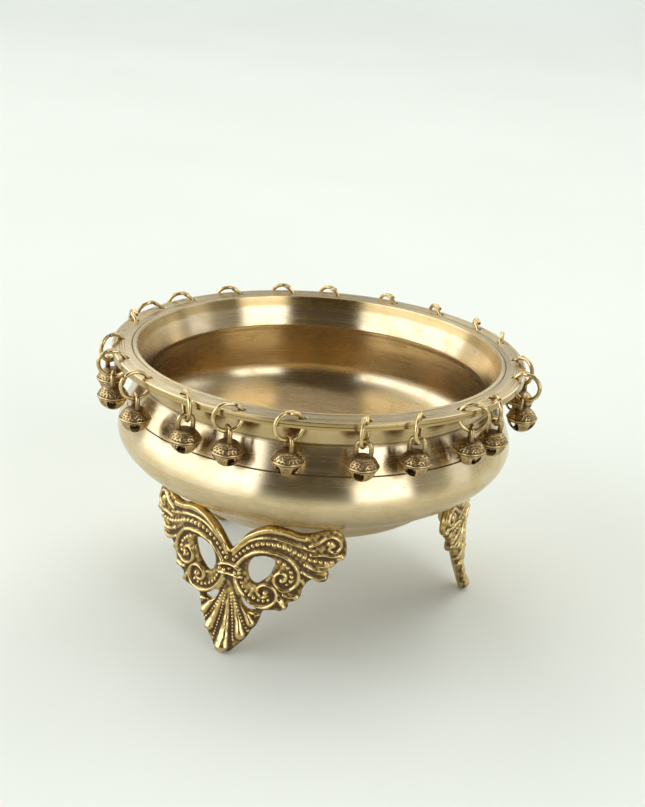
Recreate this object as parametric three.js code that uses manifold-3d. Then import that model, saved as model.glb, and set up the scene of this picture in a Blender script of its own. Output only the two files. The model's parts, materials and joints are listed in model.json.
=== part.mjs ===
// Brass urli: a wide, shallow bowl with a flat drilled rim, standing on three cast scroll feet.
// A split wire ring swivels in each rim hole, and a small crotal bell swings from each ring.
// Millimetres, +Z up. The origin is on the bowl's axis, on the surface that the feet stand on.

import * as THREE from 'three';
import { mergeVertices } from 'three/addons/utils/BufferGeometryUtils.js';
import Module from 'manifold-3d';

const wasm = await Module();
wasm.setup();

// ---- driving dimensions ----

const RIM_RADIUS = 125;
const RIM_TOP = 159.4;
const RIM_THICKNESS = 4.4;
const LIP_RADIUS = 109.9;
const NECK_RADIUS = 111.6; // outside of the neck, just under the rim
const CREASE_RADIUS = 108.2; // where the neck meets the shoulder
const CREASE_HEIGHT = 140.4;
const BELLY_RADIUS = 120.5;
const BELLY_HEIGHT = 109;
const EDGE_RADIUS = 89.4; // the turned line round the underside
const EDGE_HEIGHT = 80.8;
const BASE_RADIUS = 64;
const BASE_HEIGHT = 64.6;
const WALL = 2.7;
const RIM_ROUNDING = 0.6; // at the rim's outer edge
const BOWL_SIDES = 48;

// Handles of the belly's curves: [outwards, up] steps from the point on the section that each one bends.
const BASE_HANDLE = [12, 1.4];
const EDGE_HANDLE_BELOW = [-6.4, -6.8];
const EDGE_HANDLE_ABOVE = [17.1, 6.4];
const BELLY_HANDLE_BELOW = [-0.1, -9.8];
const BELLY_HANDLE_ABOVE = [-0.7, 10];
const CREASE_HANDLE = [3.3, -9.9];

const HOLE_CIRCLE = 119.5;
const HOLE_RADIUS = 2.35;
const HOLE_SIDES = 8;

const RING_RADIUS = 7.9; // to the middle of the wire
const RING_WIRE = 1.2; // wire radius
const RING_SIDES = 6;
const RING_STEPS = 14;
const RING_REACH = 7.05; // from the hole's axis out to the ring's centre
const RING_SINK = 2.1; // how far the ring's centre hangs below the middle of the rim's thickness
const RING_SPLIT = 6; // degrees between the two cut ends
const RING_SPLIT_AT = 48; // degrees up from the ring's outermost point

const RUNNING_GAP = 0.45; // between a bell's loop and the ring that it hangs on
const LOOP_WIRE = 0.9;
const LOOP_HALF_WIDTH = 4.3;
const LOOP_SHOULDER = [1.3, 1.4]; // how far in from the loop's side, and down from its top, it turns
const LOOP_STRAIGHT = 4.9; // where its sides start, down from its top
const BELL_RADIUS = 9.3;
const BELL_WALL = 1.2;
const BELL_SHOULDER = 4.6; // radius of the crown that the loop stands on
const BELL_FOOT = 3.1; // radius of the flat underneath
const CROWN_DROP = 5.3; // the crown, the widest line and the foot, below the ring's lowest wire
const EQUATOR_DROP = 11.1;
const FOOT_DROP = 19.4;
const BELL_SIDES = 8; // two for each slot, so that a slot lies within one flat side
const SLOT_TOP_WIDTH = 5;
const SLOT_FOOT_WIDTH = 2.6;
const SLOT_MARGIN = 1.5; // solid brass between the widest line and a slot

const LEG_RADIUS = 98; // the cylinder round the bowl's axis that the legs' backs are bent to
const LEG_PLATE = 3.6;
const LEG_BACK = -3; // the plate's back face, from the bent cylinder
const LEG_RIDGE = 1.9; // radius of the scrolls that stand on the plate
const LEG_FLARE = 5; // how far the toe leans out
const LEG_FLARE_FROM = 46; // height at which the lean starts
const BRAZE_GAP = 0.35; // filled by braze on the real bowl, and left open here
const LEGS = { leg_front: 244.6, leg_right: 4.6, leg_rear: 124.6 }; // azimuths in degrees

// Each ring's hole azimuth, how far the ring has swivelled from pointing straight out, and how far the
// bell's slots are turned from the ring, in degrees. The holes were drilled by eye, so no step is alike.
const RINGS = [
  [166, -55, 20], [150, 50, 65], [136, 46, 40], [118, 62, 10], [100, 58, 75], [85, 61, 33],
  [66, 62, 52], [49, 63, 5], [32, 62, 84], [18, 62, 26], [2, -55, 11], [346, -12, 77],
  [326, -42, 70], [312, 48, 30], [299, -43, 82], [284, -28, 0], [267, -63, 18], [251, -52, 8],
  [233, 55, 59], [218, -15, 74], [201, -18, 2], [184, 45, 60],
];

// ---- materials ----

const brass = (name, color, roughness) =>
  new THREE.MeshStandardMaterial({ name, color, roughness, metalness: 1 });
const bowlBrass = brass('bowl_brass', 0xcdb27c, 0.3);
const wireBrass = brass('wire_brass', 0xc9a24c, 0.28);
const bellBrass = brass('bell_brass', 0x94763c, 0.45);
const legBrass = brass('leg_brass', 0xa07f3e, 0.4);

// ---- closed solids and back ----

const radians = THREE.MathUtils.degToRad;

function solid(geometry) {
  const bare = geometry.index ? geometry.toNonIndexed() : geometry.clone();
  bare.deleteAttribute('normal');
  bare.deleteAttribute('uv');
  const merged = mergeVertices(bare, 1e-4);
  return new wasm.Manifold(new wasm.Mesh({
    numProp: 3,
    vertProperties: merged.attributes.position.array,
    triVerts: new Uint32Array(merged.index.array),
  }));
}

function geometryOf(manifold) {
  const { vertProperties, triVerts } = manifold.getMesh();
  const geometry = new THREE.BufferGeometry();
  geometry.setAttribute('position', new THREE.BufferAttribute(new Float32Array(vertProperties), 3));
  geometry.setIndex(new THREE.BufferAttribute(new Uint32Array(triVerts), 1));
  geometry.computeVertexNormals();
  return geometry;
}

const joined = (solids) => solids.reduce((whole, next) => whole.add(next));

// A round profile of [radius, height] pairs, turned about the Z axis.
function turned(profile, sides) {
  const points = profile.map(([r, z]) => new THREE.Vector2(r, z));
  return new THREE.LatheGeometry(points, sides).rotateX(Math.PI / 2);
}

// A wire along a curve, with an even number of sides.
function wire(curve, radius, sides, steps) {
  const section = new THREE.Shape().absarc(0, 0, radius, 0, 2 * Math.PI);
  const options = { extrudePath: curve, steps, curveSegments: sides / 2, bevelEnabled: false };
  return new THREE.ExtrudeGeometry(section, options);
}

// ---- bowl ----

// Points along a Bezier curve between [radius, height] pairs, without the first one.
function bend(corners, count) {
  const [a, b, c, d] = corners.map(([r, z]) => new THREE.Vector2(r, z));
  return new THREE.CubicBezierCurve(a, b, c, d).getPoints(count).slice(1).map((p) => [p.x, p.y]);
}

const stepped = ([r, z], [out, up]) => [r + out, z + up];

// The bowl's section below the crease, from the axis outwards, moved in by a wall's thickness.
function bellySection(inset, count) {
  const base = [BASE_RADIUS, BASE_HEIGHT + inset];
  const edge = [EDGE_RADIUS - inset / 2, EDGE_HEIGHT + inset];
  const belly = [BELLY_RADIUS - inset, BELLY_HEIGHT];
  const crease = [CREASE_RADIUS - inset, CREASE_HEIGHT];
  return [
    [0, BASE_HEIGHT + inset],
    base,
    ...bend([base, stepped(base, BASE_HANDLE), stepped(edge, EDGE_HANDLE_BELOW), edge], count - 2),
    ...bend([edge, stepped(edge, EDGE_HANDLE_ABOVE), stepped(belly, BELLY_HANDLE_BELOW), belly], count),
    ...bend([belly, stepped(belly, BELLY_HANDLE_ABOVE), stepped(crease, CREASE_HANDLE), crease], count),
  ];
}

function bowlSolid() {
  const under = RIM_TOP - RIM_THICKNESS;
  const profile = [
    ...bellySection(0, 4),
    [NECK_RADIUS - RIM_ROUNDING, under - 2 * RIM_ROUNDING],
    [NECK_RADIUS + RIM_ROUNDING, under],
    [RIM_RADIUS, under],
    [RIM_RADIUS, RIM_TOP - RIM_ROUNDING],
    [RIM_RADIUS - RIM_ROUNDING, RIM_TOP],
    [LIP_RADIUS, RIM_TOP],
    ...bellySection(WALL, 3).reverse(),
  ];
  const drill = new THREE.CylinderGeometry(HOLE_RADIUS, HOLE_RADIUS, 3 * RIM_THICKNESS, HOLE_SIDES);
  drill.rotateX(Math.PI / 2).translate(HOLE_CIRCLE, 0, RIM_TOP - RIM_THICKNESS / 2);
  const drills = RINGS.map(([azimuth]) => solid(drill.clone().rotateZ(radians(azimuth))));
  return solid(turned(profile, BOWL_SIDES)).subtract(joined(drills));
}

// ---- legs ----
// A leg is drawn flat, X along the bowl's girth, Y up and Z outwards, then bent round the bowl.

// The right half of a leg's outline: the arm with its rounded end, the leaf tips and the shell's side.
const ARM_EDGE = [[0, 65], [8, 76], [19, 83], [33, 84.5], [46, 84], [57, 85], [64, 81], [67, 73],
  [65, 65], [58, 60]];
const LEAF_EDGE = [[57, 53], [47, 51.5], [39.5, 44], [37, 35], [28, 31.5], [21, 30.5]];
const SHELL_EDGE = [[20.5, 24], [11.5, 9], [5, 0]];
const WINDOW = [[13.5, 62], [20, 64.5], [26.5, 63.5], [26, 57], [16.5, 44], [11.5, 48], [10, 55]];
const LOWER_WINDOW = [[6, 36], [11.5, 34], [17, 29.5], [9, 30]];

const mirrored = (points) => points.map(([x, y]) => [-x, y]).reverse();
const vectors = (points) => points.map(([x, y]) => new THREE.Vector2(x, y));

function legPlate() {
  const arm = new THREE.SplineCurve(vectors(ARM_EDGE)).getPoints(11).map((p) => [p.x, p.y]);
  const half = [...arm, ...LEAF_EDGE, ...SHELL_EDGE];
  const outline = new THREE.Shape(vectors([...half, ...mirrored(half).slice(0, -1)].reverse()));
  for (const hole of [WINDOW, LOWER_WINDOW]) {
    outline.holes.push(new THREE.Path(vectors(hole)), new THREE.Path(vectors(mirrored(hole))));
  }
  const plate = new THREE.ExtrudeGeometry(outline, { depth: LEG_PLATE, bevelEnabled: false });
  return solid(plate.translate(0, 0, LEG_BACK));
}

// The scrolls of the right half: each has a backbone line that ends in a curl.
const UPPER_SCROLL = [[4, 54], [8, 61], [15, 67.5], [24, 70.5], [33, 68], [39.5, 61], [40, 52],
  [35, 46], [29, 47], [28.5, 53]];
const LOWER_SCROLL = [[3, 54], [3, 44], [7.5, 36.5], [14.5, 32.5], [22, 32.5], [27.5, 37],
  [25.5, 43.5], [20, 44]];

// Drop-shaped lobes of the shell: root, tip and radius. The first is the long one down to the toe.
const TOE_LOBE = [[0, 40], [0, 0.5], 4.6];
const COLLAR_LOBE = [[0, 47], [0, 60], 5];
const SIDE_LOBE = [[3, 36], [10, 10], 3];

function scroll(points, side, steps) {
  const path = points.map(([x, y]) => new THREE.Vector3(side * x, y, LEG_BACK + LEG_PLATE));
  return solid(wire(new THREE.CatmullRomCurve3(path), LEG_RIDGE, 4, steps));
}

// A lobe lies on the plate, along the line from its root to its tip.
function lobe([root, tip, radius], side = 1) {
  const [from, to] = vectors([root, tip]);
  const along = to.clone().sub(from);
  const drop = new THREE.SphereGeometry(1, 6, 4).scale(radius, along.length() / 2, radius);
  drop.rotateZ(side * (along.angle() - Math.PI / 2));
  const middle = from.lerp(to, 0.5);
  return solid(drop.translate(side * middle.x, middle.y, LEG_BACK + LEG_PLATE));
}

function legFlat() {
  const pieces = [legPlate(), lobe(TOE_LOBE), lobe(COLLAR_LOBE)];
  for (const side of [-1, 1]) {
    pieces.push(
      scroll(UPPER_SCROLL, side, 10),
      scroll(LOWER_SCROLL, side, 7),
      lobe(SIDE_LOBE, side),
    );
  }
  return joined(pieces);
}

// Bends the flat leg round the bowl's axis, and leans its toe out.
function bentLeg(flat) {
  const geometry = geometryOf(flat);
  const position = geometry.attributes.position;
  for (let i = 0; i < position.count; i++) {
    const angle = position.getX(i) / LEG_RADIUS;
    const height = position.getY(i);
    const lean = Math.max(0, 1 - height / LEG_FLARE_FROM) ** 2 * LEG_FLARE;
    const radius = LEG_RADIUS + position.getZ(i) + lean;
    position.setXYZ(i, radius * Math.cos(angle), radius * Math.sin(angle), height);
  }
  return geometry;
}

// The leg ends flat on the floor, and leaves a gap for braze below the bowl.
function legSolid() {
  const bowlOutside = [
    ...bellySection(0, 4),
    [CREASE_RADIUS, 2 * RIM_TOP],
    [0, 2 * RIM_TOP],
  ].map(([r, z]) => [r, z - BRAZE_GAP]);
  const floor = new THREE.BoxGeometry(4 * RIM_RADIUS, 4 * RIM_RADIUS, RIM_TOP).translate(0, 0, -RIM_TOP / 2);
  return solid(bentLeg(legFlat()))
    .subtract(solid(turned(bowlOutside, BOWL_SIDES)))
    .subtract(solid(floor));
}

// ---- rings and bells ----

// A ring stands in the XZ plane with its centre out along X. Its wire passes close by the origin, which is
// in the middle of the rim hole.
class SplitRing extends THREE.Curve {
  getPoint(t, target = new THREE.Vector3()) {
    const angle = radians(RING_SPLIT_AT + RING_SPLIT / 2 + t * (360 - RING_SPLIT));
    const up = RING_RADIUS * Math.sin(angle) - RING_SINK;
    return target.set(RING_REACH + RING_RADIUS * Math.cos(angle), 0, up);
  }
}

// A bell hangs from its origin, where the ring's lowest wire crosses its loop along X.
function bellLoop() {
  const top = RING_WIRE + RUNNING_GAP + LOOP_WIRE;
  const half = [
    [BELL_SHOULDER - BELL_WALL / 2, -CROWN_DROP - BELL_WALL / 2],
    [LOOP_HALF_WIDTH, top - LOOP_STRAIGHT],
    [LOOP_HALF_WIDTH - LOOP_SHOULDER[0], top - LOOP_SHOULDER[1]],
  ];
  const points = [...half, [0, top], ...mirrored(half)].map(([y, z]) => new THREE.Vector3(0, y, z));
  return solid(wire(new THREE.CatmullRomCurve3(points), LOOP_WIRE, 4, 6));
}

function bellShell() {
  const outside = [
    [0, -FOOT_DROP], [BELL_FOOT, -FOOT_DROP], [BELL_RADIUS, -EQUATOR_DROP],
    [BELL_SHOULDER, -CROWN_DROP], [0, -CROWN_DROP],
  ];
  const hollow = [
    [0, -FOOT_DROP + BELL_WALL], [BELL_FOOT - BELL_WALL / 2, -FOOT_DROP + BELL_WALL],
    [BELL_RADIUS - BELL_WALL, -EQUATOR_DROP],
    [BELL_SHOULDER - BELL_WALL / 2, -CROWN_DROP - BELL_WALL], [0, -CROWN_DROP - BELL_WALL],
  ];
  return solid(turned(outside, BELL_SIDES)).subtract(solid(turned(hollow, BELL_SIDES)));
}

// Two tapered bars that cross inside the bell cut its four slots, each in the middle of a flat side.
function bellSlots() {
  const high = -EQUATOR_DROP - SLOT_MARGIN;
  const low = -FOOT_DROP + SLOT_MARGIN;
  const taper = new THREE.Shape(vectors([
    [-SLOT_FOOT_WIDTH / 2, low], [SLOT_FOOT_WIDTH / 2, low],
    [SLOT_TOP_WIDTH / 2, high], [-SLOT_TOP_WIDTH / 2, high],
  ]));
  const length = 3 * BELL_RADIUS;
  const bar = new THREE.ExtrudeGeometry(taper, { depth: length, bevelEnabled: false });
  bar.translate(0, 0, -length / 2).rotateX(Math.PI / 2).rotateZ(Math.PI / BELL_SIDES);
  return solid(bar).add(solid(bar.clone().rotateZ(Math.PI / 2)));
}

// ---- the whole urli ----

const urli = new THREE.Group();

function addMesh(parent, name, geometry, material) {
  const mesh = new THREE.Mesh(geometry, material);
  mesh.name = name;
  parent.add(mesh);
  return mesh;
}

addMesh(urli, 'bowl', geometryOf(bowlSolid()), bowlBrass);

const legGeometry = geometryOf(legSolid());
for (const [name, azimuth] of Object.entries(LEGS)) {
  addMesh(urli, name, legGeometry, legBrass).rotation.z = radians(azimuth);
}

const ringGeometry = wire(new SplitRing(), RING_WIRE, RING_SIDES, RING_STEPS);
const slottedShell = geometryOf(bellShell().subtract(bellSlots()));
const loop = bellLoop();

RINGS.forEach(([azimuth, swivel, slotTurn], index) => {
  const number = String(index + 1).padStart(2, '0');
  const hanger = new THREE.Group();
  hanger.position.set(HOLE_CIRCLE, 0, RIM_TOP - RIM_THICKNESS / 2)
    .applyAxisAngle(new THREE.Vector3(0, 0, 1), radians(azimuth));
  hanger.rotation.z = radians(azimuth + swivel);
  urli.add(hanger);
  addMesh(hanger, `ring_${number}`, ringGeometry, wireBrass);
  const bell = solid(slottedShell.clone().rotateZ(radians(slotTurn) - Math.PI / BELL_SIDES)).add(loop);
  addMesh(hanger, `bell_${number}`, geometryOf(bell), bellBrass)
    .position.set(RING_REACH, 0, -RING_SINK - RING_RADIUS);
});

export default urli;
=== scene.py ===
# The looks of a brass urli: a turned bowl, split wire rings, crotal bells and cast scroll feet.
# Lengths are in millimetres while a shape is worked out, and MM turns them into metres.

import json
import math

import bpy
import numpy as np
from mathutils import Matrix, Vector


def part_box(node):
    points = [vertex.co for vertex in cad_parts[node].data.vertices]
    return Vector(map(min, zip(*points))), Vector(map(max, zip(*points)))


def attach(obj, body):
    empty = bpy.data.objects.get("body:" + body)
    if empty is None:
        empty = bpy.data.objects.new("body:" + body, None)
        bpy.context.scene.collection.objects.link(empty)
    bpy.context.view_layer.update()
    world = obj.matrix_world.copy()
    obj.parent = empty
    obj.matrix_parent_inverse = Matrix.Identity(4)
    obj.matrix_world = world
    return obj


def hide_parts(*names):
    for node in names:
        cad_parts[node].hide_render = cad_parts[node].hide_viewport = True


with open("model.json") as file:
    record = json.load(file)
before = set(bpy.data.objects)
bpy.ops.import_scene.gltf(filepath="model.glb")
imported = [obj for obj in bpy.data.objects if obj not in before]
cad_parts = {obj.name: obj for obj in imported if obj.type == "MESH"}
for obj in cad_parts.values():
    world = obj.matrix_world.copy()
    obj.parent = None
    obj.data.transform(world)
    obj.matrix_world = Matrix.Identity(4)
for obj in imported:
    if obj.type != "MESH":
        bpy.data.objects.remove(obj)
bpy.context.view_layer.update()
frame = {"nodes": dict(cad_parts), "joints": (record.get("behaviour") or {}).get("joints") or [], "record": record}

MM = 0.001
JOINTS = {joint["name"]: joint for joint in frame["joints"]}
MOUNTS = {mount["name"]: mount for mount in frame["record"]["mounts"]}
NUMBERS = [name[-2:] for name in sorted(frame["nodes"]) if name.startswith("ring_")]
random = np.random.default_rng(21)

# ---- sizes, in millimetres ----

bowl_low, bowl_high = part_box("bowl")
RIM_RADIUS = bowl_high.x / MM
RIM_TOP = bowl_high.z / MM
BASE_HEIGHT = bowl_low.z / MM
RIM_THICKNESS = 4.4
LIP_RADIUS = 109.9
NECK_RADIUS = 111.6
WALL = 2.7
BASE = (64, BASE_HEIGHT)
EDGE = (89.4, 80.8)
BELLY = (120.5, 109)
CREASE = (108.2, 140.4)
HOLE_RADIUS = 2.3
HOLE_WEAR = 0.4  # how much wider a hole's upper edge is worn
HOLE_SIDES = 24
DRILL_PAST = 3  # how far the cutting shape stands past the rim's faces
BOWL_SIDES = 384

WIRE_RADIUS = 1.2
WIRE_SIDES = 18
RING_RADIUS = 7.9
RING_REACH = 7.05
RING_SINK = 2.1
RING_STRETCH = 0.4  # a ring is twice this longer outwards than high, and so clears the rim as it turns
RING_UNEVEN = 0.15

LEG_RADIUS = 98
LEG_BACK = -3.0
LEG_FLARE = 6.5
LEG_FLARE_FROM = 46.0
LEG_FLARE_POWER = 2.4
LEG_HALF_WIDTH = 69.75
LEG_FOOT = -0.9
LEG_TOP = 87
LEG_EDGE = -1.3  # height at which the rounded face and the rounded back meet
LEG_FACE_LIFT = 1.9  # height of the face's ground over that edge
LEG_FACE_ROUND = 1.5
LEG_BACK_ROUND = 1.3
LEG_GRID = 0.45

# How far each bell's slots are turned from its ring, in degrees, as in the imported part.
SLOT_TURNS = [20, 65, 40, 10, 75, 33, 52, 5, 84, 26, 11, 77, 70, 30, 82, 0, 18, 8, 59, 74, 2, 60]

# ---- meshes ----


def grid_faces(rows, columns):
    """Quads over rows of points that close on themselves."""
    row, column = np.meshgrid(np.arange(rows - 1), np.arange(columns), indexing="ij")
    right = (column + 1) % columns
    corners = [row * columns + column, row * columns + right]
    corners += [(row + 1) * columns + right, (row + 1) * columns + column]
    return np.stack(corners, -1).reshape(-1, 4).tolist()


def skinned(rings, first, last):
    """A closed skin over rows of points, with a pole at each end."""
    rows, columns = rings.shape[:2]
    points = np.vstack([rings.reshape(-1, 3), [first], [last]])
    faces = grid_faces(rows, columns)
    start, end = rows * columns, (rows - 1) * columns
    for column in range(columns):
        right = (column + 1) % columns
        faces.append([start, right, column])
        faces.append([end + column, end + right, start + 1])
    return points, faces


def turned(profile, sides):
    """A solid of revolution from [radius, height] points that start and end on the axis."""
    profile = np.asarray(profile, float)
    angle = np.linspace(0, 2 * math.pi, sides, endpoint=False)
    r, z = profile[1:-1, 0, None], profile[1:-1, 1, None]
    rings = np.stack([r * np.cos(angle), r * np.sin(angle), z + 0 * angle], -1)
    return skinned(rings, [0, 0, profile[0, 1]], [0, 0, profile[-1, 1]])


def swept(path, radius, sides=16):
    """A round wire along a path. The radius is one number, or one for each point."""
    path = np.asarray(path, float)
    radius = np.broadcast_to(np.asarray(radius, float), len(path))
    tangent = np.gradient(path, axis=0)
    tangent /= np.linalg.norm(tangent, axis=1)[:, None]
    side = np.cross(tangent[0], [0.31, 0.87, 0.39])
    angle = np.linspace(0, 2 * math.pi, sides, endpoint=False)[:, None]
    rings = []
    for centre, forward, r in zip(path, tangent, radius):
        side = side - forward * (side @ forward)
        side /= np.linalg.norm(side)
        across = np.cross(forward, side)
        rings.append(centre + r * (np.cos(angle) * side + np.sin(angle) * across))
    return skinned(np.array(rings), path[0], path[-1])


def combined(*parts):
    """Several closed skins as one list of points and one of faces."""
    points, faces, start = [], [], 0
    for part_points, part_faces in parts:
        points.append(np.asarray(part_points, float))
        faces += [[corner + start for corner in face] for face in part_faces]
        start += len(part_points)
    return np.vstack(points), faces


def object_of(name, points, faces, material=None, cavity=None, neck_shade=None):
    """A mesh object from points in millimetres. cavity is 0 on the open surface and 1 deep in a crevice,
    and the last is 1 where painted shade, a darker and deeper gold, lies on the bowl's neck and rim wall."""
    mesh = bpy.data.meshes.new(name)
    mesh.from_pydata((np.asarray(points) * MM).tolist(), [], faces)
    for label, values in (("cavity", cavity), ("neck_shade", neck_shade)):
        if values is not None:
            attribute = mesh.attributes.new(label, "FLOAT", "POINT")
            attribute.data.foreach_set("value", np.asarray(values, np.float32))
    made = bpy.data.objects.new(name, mesh)
    bpy.context.scene.collection.objects.link(made)
    if material is not None:
        mesh.materials.append(material)
    return made


def smooth(made, sharp_from=40):
    mesh = made.data
    mesh.polygons.foreach_set("use_smooth", [True] * len(mesh.polygons))
    mesh.set_sharp_from_angle(angle=math.radians(sharp_from))
    mesh.update()


def cut(made, cutter):
    """Cuts one object out of another, and removes the cutter."""
    modifier = made.modifiers.new("cut", "BOOLEAN")
    modifier.operation = "DIFFERENCE"
    modifier.solver = "EXACT"
    modifier.object = cutter
    bpy.context.view_layer.update()
    evaluated = made.evaluated_get(bpy.context.evaluated_depsgraph_get())
    mesh = bpy.data.meshes.new_from_object(evaluated)
    made.modifiers.clear()
    made.data = mesh
    bpy.data.objects.remove(cutter)


def settle(made, body, node):
    """Gives a finished piece its body, and hides the CAD part that it stands for, if there is one."""
    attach(made, body)
    if node:
        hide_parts(node)


def bezier(corners, count):
    """Points along a cubic curve, without the first one."""
    a, b, c, d = np.asarray(corners, float)
    t = np.linspace(0, 1, count + 1)[1:, None]
    return a * (1 - t) ** 3 + 3 * b * t * (1 - t) ** 2 + 3 * c * t**2 * (1 - t) + d * t**3


def through(points, count):
    """A smooth line through the points."""
    p = np.asarray(points, float)
    p = np.vstack([2 * p[0] - p[1], p, 2 * p[-1] - p[-2]])
    t = np.linspace(0, len(points) - 1, count)
    i = np.minimum(t.astype(int), len(points) - 2)
    f = (t - i)[:, None]
    a, b, c, d = p[i], p[i + 1], p[i + 2], p[i + 3]
    return 0.5 * (2 * b + (c - a) * f + (2 * a - 5 * b + 4 * c - d) * f**2
                  + (3 * b - a - 3 * c + d) * f**3)


def eased(value, low, high):
    """0 up to low, 1 from high, and smooth between them."""
    t = np.clip((np.asarray(value, float) - low) / (high - low), 0, 1)
    return t * t * (3 - 2 * t)


# ---- materials ----


class Nodes:
    """A short way to write a material's nodes."""

    def __init__(self, name):
        self.material = bpy.data.materials.new(name)
        self.material.use_nodes = True
        self.tree = self.material.node_tree
        self.shader = self.tree.nodes["Principled BSDF"]
        self.shader.inputs["Metallic"].default_value = 1.0
        coordinates = self.tree.nodes.new("ShaderNodeTexCoord")
        self.place = coordinates.outputs["Object"]

    def link(self, value, socket):
        if isinstance(value, (int, float, tuple)):
            socket.default_value = value
        else:
            self.tree.links.new(value, socket)

    def math(self, operation, *values, clamp=False):
        node = self.tree.nodes.new("ShaderNodeMath")
        node.operation = operation
        node.use_clamp = clamp
        for value, socket in zip(values, node.inputs):
            self.link(value, socket)
        return node.outputs[0]

    def noise(self, scale, detail=3.0, roughness=0.55, vector=None, distortion=0.0):
        node = self.tree.nodes.new("ShaderNodeTexNoise")
        self.link(vector if vector is not None else self.place, node.inputs["Vector"])
        node.inputs["Scale"].default_value = scale
        node.inputs["Detail"].default_value = detail
        node.inputs["Roughness"].default_value = roughness
        node.inputs["Distortion"].default_value = distortion
        return node.outputs["Fac"]

    def spread(self, value, low, high, start=0.0, end=1.0):
        node = self.tree.nodes.new("ShaderNodeMapRange")
        node.interpolation_type = "SMOOTHSTEP"
        self.link(value, node.inputs["Value"])
        for name, number in zip(("From Min", "From Max", "To Min", "To Max"), (low, high, start, end)):
            node.inputs[name].default_value = number
        return node.outputs["Result"]

    def mix(self, share, first, second, blend="MIX"):
        node = self.tree.nodes.new("ShaderNodeMix")
        node.data_type = "RGBA"
        node.blend_type = blend
        self.link(share, node.inputs["Factor"])
        self.link(first, node.inputs["A"])
        self.link(second, node.inputs["B"])
        return node.outputs["Result"]

    def attribute(self, name):
        node = self.tree.nodes.new("ShaderNodeAttribute")
        node.attribute_name = name
        return node.outputs["Fac"]

    def bump(self, height, strength, distance, normal=None):
        node = self.tree.nodes.new("ShaderNodeBump")
        node.inputs["Strength"].default_value = strength
        node.inputs["Distance"].default_value = distance
        self.link(height, node.inputs["Height"])
        if normal is not None:
            self.link(normal, node.inputs["Normal"])
        return node.outputs["Normal"]

    def turned_place(self, along, around):
        """A vector that changes fast along the section and slowly round the axis."""
        split = self.tree.nodes.new("ShaderNodeSeparateXYZ")
        self.link(self.place, split.inputs[0])
        x, y, z = split.outputs
        squares = self.math("ADD", self.math("MULTIPLY", x, x), self.math("MULTIPLY", y, y))
        radius = self.math("SQRT", squares)
        turn = self.tree.nodes.new("ShaderNodeVectorMath")
        turn.operation = "NORMALIZE"
        flat = self.tree.nodes.new("ShaderNodeCombineXYZ")
        self.link(x, flat.inputs[0])
        self.link(y, flat.inputs[1])
        self.link(flat.outputs[0], turn.inputs[0])
        scaled = self.tree.nodes.new("ShaderNodeVectorMath")
        scaled.operation = "SCALE"
        self.link(turn.outputs[0], scaled.inputs[0])
        scaled.inputs["Scale"].default_value = around
        section = self.tree.nodes.new("ShaderNodeCombineXYZ")
        self.link(self.math("MULTIPLY", radius, along * 0.77), section.inputs[0])
        self.link(self.math("MULTIPLY", radius, along * 0.31), section.inputs[1])
        self.link(self.math("MULTIPLY", z, along), section.inputs[2])
        total = self.tree.nodes.new("ShaderNodeVectorMath")
        total.operation = "ADD"
        self.link(scaled.outputs[0], total.inputs[0])
        self.link(section.outputs[0], total.inputs[1])
        return total.outputs[0]


def turned_brass():
    """Pale brass with fine turning marks, faint stains, a few pits, and dirt in its grooves,
    with painted shade in a deeper gold on the neck and rim wall.
    """
    n = Nodes("bowl_brass")
    lines = n.noise(1.0, 4.0, 0.65, n.turned_place(2600.0, 0.6))
    bands = n.noise(1.0, 3.0, 0.5, n.turned_place(240.0, 1.4))
    smear = n.noise(1.0, 4.0, 0.6, n.turned_place(60.0, 5.0), 0.6)
    cloud = n.noise(22.0, 4.0, 0.6)
    pits = n.spread(n.noise(420.0, 1.0, 0.4), 0.79, 0.83)
    grime = n.attribute("cavity")
    color = n.mix(n.spread(smear, 0.35, 0.7), (0.68, 0.54, 0.33, 1), (0.59, 0.45, 0.235, 1))
    # Painted shade: the neck and rim wall are mixed towards a darker, deeper gold, for the shade and dark
    # reflection under the rim.
    color = n.mix(n.attribute("neck_shade"), color, (0.42, 0.29, 0.11, 1))
    color = n.mix(n.spread(lines, 0.62, 0.8, 0.0, 0.2), color, (0.42, 0.30, 0.14, 1))
    color = n.mix(n.spread(cloud, 0.60, 0.8, 0.0, 0.3), color, (0.46, 0.34, 0.17, 1))
    color = n.mix(n.math("MULTIPLY", pits, 0.7), color, (0.12, 0.07, 0.03, 1))
    color = n.mix(grime, color, (0.035, 0.022, 0.010, 1))
    n.link(color, n.shader.inputs["Base Color"])
    rough = n.math("ADD", n.spread(bands, 0.3, 0.75, 0.20, 0.26), n.spread(lines, 0.4, 0.8, 0.0, 0.08))
    rough = n.math("ADD", rough, n.spread(smear, 0.45, 0.75, 0.0, 0.06))
    n.link(n.math("ADD", rough, n.math("MULTIPLY", grime, 0.4)), n.shader.inputs["Roughness"])
    n.shader.inputs["Anisotropic"].default_value = 0.85
    n.shader.inputs["Anisotropic Rotation"].default_value = 0.25
    tangent = n.tree.nodes.new("ShaderNodeTangent")
    tangent.direction_type = "RADIAL"
    tangent.axis = "Z"
    n.link(tangent.outputs[0], n.shader.inputs["Tangent"])
    normal = n.bump(bands, 0.06, 0.0004)
    n.link(n.bump(lines, 0.10, 0.00005, normal), n.shader.inputs["Normal"])
    return n.material


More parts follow.
